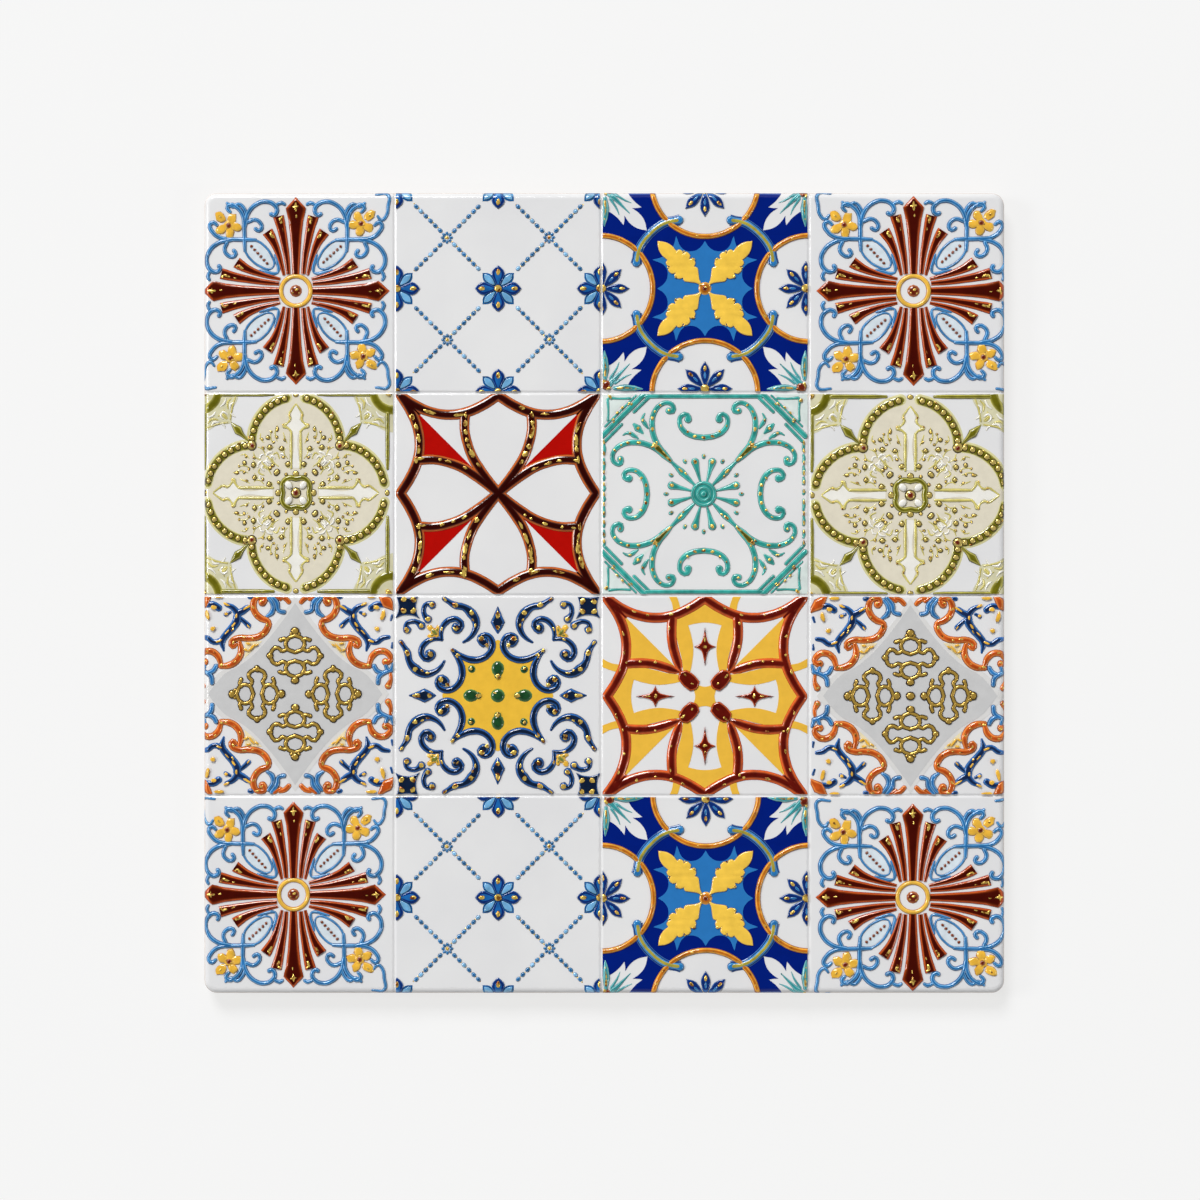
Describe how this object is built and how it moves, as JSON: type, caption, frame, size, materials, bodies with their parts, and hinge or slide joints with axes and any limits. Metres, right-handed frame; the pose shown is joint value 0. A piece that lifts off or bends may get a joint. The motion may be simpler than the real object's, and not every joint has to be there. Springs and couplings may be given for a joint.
{
  "type": "patchwork relief wall tile",
  "caption": "Square glazed ceramic wall tile with a patchwork of traditional relief patterns in coloured glaze and gold on its face.",
  "frame": {"origin": "middle of the bedding face, on the plain land between the two middle mortar keys", "axes": "+Z out of the glazed face, +Y towards the top of the pattern, +X towards its right side"},
  "size_m": [0.2, 0.2, 0.008],
  "materials": {
    "glazed_body": "gloss white glaze over a pale fired body"
  },
  "bodies": {
    "root": {"tile": "glazed_body"}
  },
  "joints": []
}
